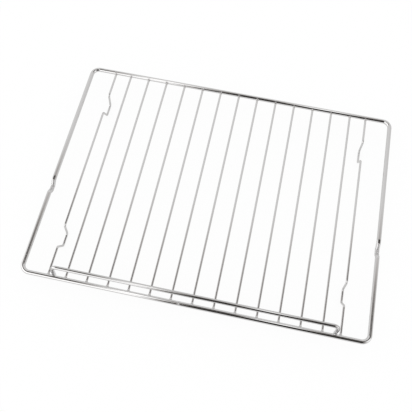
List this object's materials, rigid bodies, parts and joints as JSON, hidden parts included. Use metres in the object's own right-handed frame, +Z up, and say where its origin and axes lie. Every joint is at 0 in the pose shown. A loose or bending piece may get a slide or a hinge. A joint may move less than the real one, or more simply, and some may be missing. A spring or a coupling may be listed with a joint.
{
  "type": "oven shelf rack",
  "caption": "Chrome-plated wire oven shelf: a bent rod frame with dipped sides, straight cross wires, outer wires bent into feet, and a raised stop rail along one edge.",
  "frame": {"origin": "middle of the rack's outline, on the surface that its feet stand on", "axes": "+X along the long rods, +Y from the stop rail's edge to the plain edge, +Z up"},
  "size_m": [0.465, 0.345, 0.043],
  "materials": {
    "chrome_rod": "bright chrome plate on drawn steel rod",
    "chrome_wire": "bright chrome plate on thinner drawn steel wire"
  },
  "bodies": {
    "root": {"outer_frame": "chrome_rod", "stop_rail": "chrome_rod", "left_footed_wire": "chrome_wire", "cross_wire_01": "chrome_wire", "cross_wire_02": "chrome_wire", "cross_wire_03": "chrome_wire", "cross_wire_04": "chrome_wire", "cross_wire_05": "chrome_wire", "cross_wire_06": "chrome_wire", "cross_wire_07": "chrome_wire", "cross_wire_08": "chrome_wire", "cross_wire_09": "chrome_wire", "cross_wire_10": "chrome_wire", "cross_wire_11": "chrome_wire", "cross_wire_12": "chrome_wire", "cross_wire_13": "chrome_wire", "right_footed_wire": "chrome_wire"}
  },
  "joints": []
}
